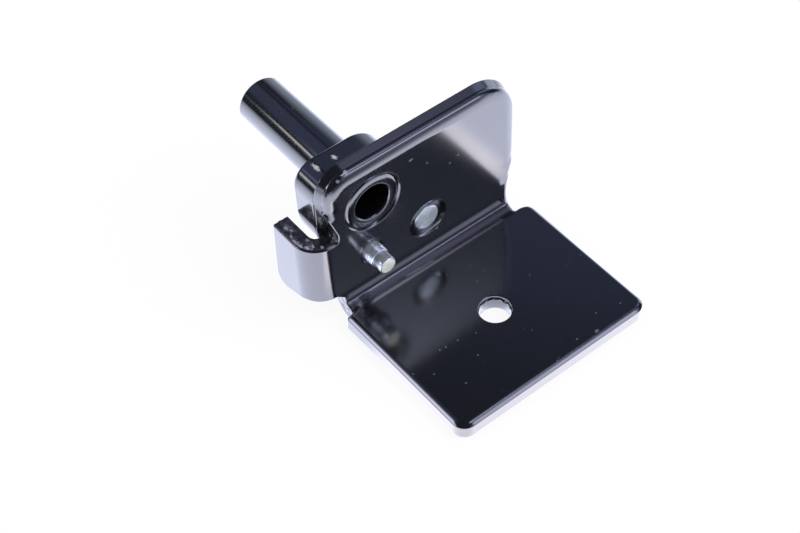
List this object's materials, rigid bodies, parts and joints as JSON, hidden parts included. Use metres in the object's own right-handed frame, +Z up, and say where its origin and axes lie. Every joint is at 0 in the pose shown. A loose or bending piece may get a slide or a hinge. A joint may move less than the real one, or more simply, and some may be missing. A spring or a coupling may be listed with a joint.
{
  "type": "fridge door hinge",
  "caption": "Folded steel fridge door hinge with a hollow pin standing on a thick backing block, a curled hook, a stud and a screw plate.",
  "frame": {"origin": "centre of the screw hole on the underside of the base plate", "axes": "+Z up through the screw hole, +Y along the hinge pin towards its free end, +X to the right along the flange"},
  "size_m": [0.0457, 0.0641, 0.0337],
  "materials": {
    "black_paint": "high-gloss black enamel",
    "zinc": "bright zinc plate, turned"
  },
  "bodies": {
    "root": {"bracket": "black_paint", "backing_block": "black_paint", "hinge_pin": "black_paint", "rivet": "zinc", "stud": "zinc"}
  },
  "joints": []
}
